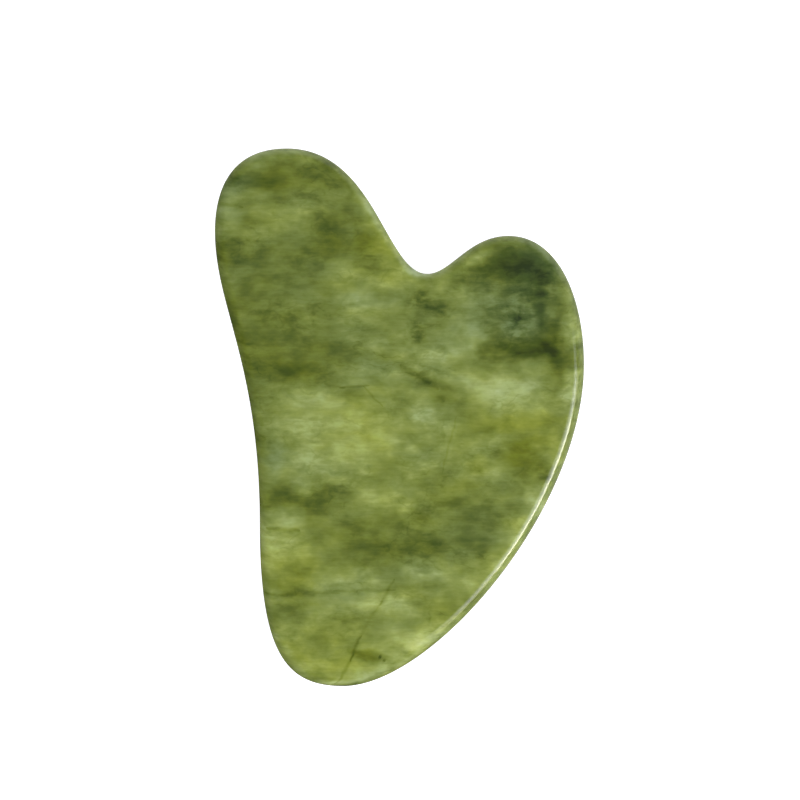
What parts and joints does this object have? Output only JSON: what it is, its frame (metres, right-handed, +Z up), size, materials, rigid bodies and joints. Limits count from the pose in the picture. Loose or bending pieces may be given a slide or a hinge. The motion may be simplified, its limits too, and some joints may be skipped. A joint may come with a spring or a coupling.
{
  "type": "gua sha scraper",
  "caption": "Flat polished stone gua sha board with a tall lobe, a small lobe, a notch between them and one long curved scraping edge.",
  "frame": {"origin": "under the middle of the board, centre of its length and width, on the surface that its flat back face rests on", "axes": "+Y along the length towards the tall lobe, +X across the width towards the small lobe and the curved scraping edge, +Z up through the thickness, out of the front face"},
  "size_m": [0.0584, 0.085, 0.006],
  "materials": {
    "polished_green_stone": "high polish, mottled yellow-green to dark olive with fine veins"
  },
  "bodies": {
    "root": {"scraper_stone": "polished_green_stone"}
  },
  "joints": []
}
